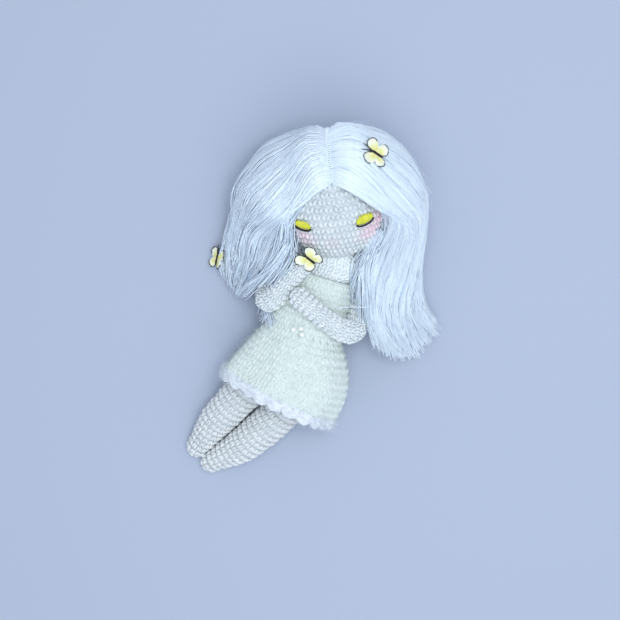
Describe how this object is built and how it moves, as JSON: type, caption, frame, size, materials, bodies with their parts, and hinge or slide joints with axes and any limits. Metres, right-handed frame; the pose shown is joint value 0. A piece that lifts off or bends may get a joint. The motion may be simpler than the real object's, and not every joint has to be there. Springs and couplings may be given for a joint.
{
  "type": "crocheted doll",
  "caption": "Small crocheted doll lying on its back, with swinging arms and legs, a turning head, sewn thread hair, a flared dress and fabric butterflies.",
  "frame": {"origin": "middle of the doll's footprint, on the surface that it lies on", "axes": "+Y from the feet to the head, +Z the doll's front, +X the doll's left side"},
  "size_m": [0.0712, 0.118, 0.0382],
  "materials": {
    "crown_butterfly_body": "black embroidery thread",
    "crown_butterfly_wings": "sheer organza with stitched edge",
    "dress_bodice": "crocheted fuzzy wool, matte",
    "dress_skirt": "crocheted fuzzy wool, matte",
    "hair_crown_left": "silky white thread",
    "hair_crown_right": "silky white thread",
    "hair_lock_back": "silky white thread",
    "hair_lock_left": "silky white thread",
    "hair_lock_right": "silky white thread",
    "hand_butterfly_body": "black embroidery thread",
    "hand_butterfly_wings": "sheer organza with stitched edge",
    "head": "crocheted mercerised cotton with a soft sheen",
    "hem_trim": "fluffy white scalloped edging",
    "hip_thread": "matte",
    "left_arm": "crocheted mercerised cotton with a soft sheen",
    "left_arm_wire": "bright",
    "left_eyelid": "satin stitch",
    "left_lash": "black embroidery thread",
    "left_leg": "crocheted mercerised cotton with a soft sheen",
    "lock_butterfly_body": "black embroidery thread",
    "lock_butterfly_wings": "sheer organza with stitched edge",
    "neck_peg": "bare",
    "parting_seam": "silky white thread",
    "right_arm": "crocheted mercerised cotton with a soft sheen",
    "right_arm_wire": "bright",
    "right_eyelid": "satin stitch",
    "right_lash": "black embroidery thread",
    "right_leg": "crocheted mercerised cotton with a soft sheen",
    "torso": "crocheted mercerised cotton with a soft sheen",
    "waist_pearl_1": "pearly gloss",
    "waist_pearl_2": "pearly gloss",
    "waist_pearl_3": "pearly gloss"
  },
  "bodies": {
    "torso": {"dress_bodice": "dress_bodice", "dress_skirt": "dress_skirt", "hem_trim": "hem_trim", "hip_thread": "hip_thread", "left_arm_wire": "left_arm_wire", "neck_peg": "neck_peg", "right_arm_wire": "right_arm_wire", "torso": "torso", "waist_pearl_1": "waist_pearl_1", "waist_pearl_2": "waist_pearl_2", "waist_pearl_3": "waist_pearl_3"},
    "head": {"crown_butterfly_body": "crown_butterfly_body", "crown_butterfly_wings": "crown_butterfly_wings", "hair_crown_left": "hair_crown_left", "hair_crown_right": "hair_crown_right", "hair_lock_back": "hair_lock_back", "hair_lock_left": "hair_lock_left", "hair_lock_right": "hair_lock_right", "head": "head", "left_eyelid": "left_eyelid", "left_lash": "left_lash", "lock_butterfly_body": "lock_butterfly_body", "lock_butterfly_wings": "lock_butterfly_wings", "parting_seam": "parting_seam", "right_eyelid": "right_eyelid", "right_lash": "right_lash"},
    "left_arm": {"left_arm": "left_arm"},
    "right_arm": {"hand_butterfly_body": "hand_butterfly_body", "hand_butterfly_wings": "hand_butterfly_wings", "right_arm": "right_arm"},
    "left_leg": {"left_leg": "left_leg"},
    "right_leg": {"right_leg": "right_leg"}
  },
  "joints": [
    {"name": "neck_turn", "type": "hinge", "parent": "torso", "child": "head", "pos_m": [0.00177, 0.0207, 0.01563], "axis": [-0.3919, 0.8803, 0.2672], "range_deg": [-12, 12], "deforming": ["hair_lock_left", "hair_lock_right", "hair_lock_back"]},
    {"name": "left_arm_swing", "type": "hinge", "parent": "torso", "child": "left_arm", "pos_m": [0.01247, 0.0132, 0.0125], "axis": [-0.0627, 0.9905, -0.1228], "range_deg": [0, 60], "deforming": ["hair_lock_left"]},
    {"name": "right_arm_swing", "type": "hinge", "parent": "torso", "child": "right_arm", "pos_m": [-0.01453, 0.0132, 0.0125], "axis": [-0.0537, -0.9891, 0.1369], "range_deg": [0, 35], "deforming": ["hair_lock_right"]},
    {"name": "left_hip", "type": "hinge", "parent": "torso", "child": "left_leg", "pos_m": [0.00542, -0.0152, 0.0116], "axis": [-1, 0, 0], "range_deg": [0, 20]},
    {"name": "right_hip", "type": "hinge", "parent": "torso", "child": "right_leg", "pos_m": [-0.00748, -0.0152, 0.0116], "axis": [-1, 0, 0], "range_deg": [0, 20]}
  ]
}
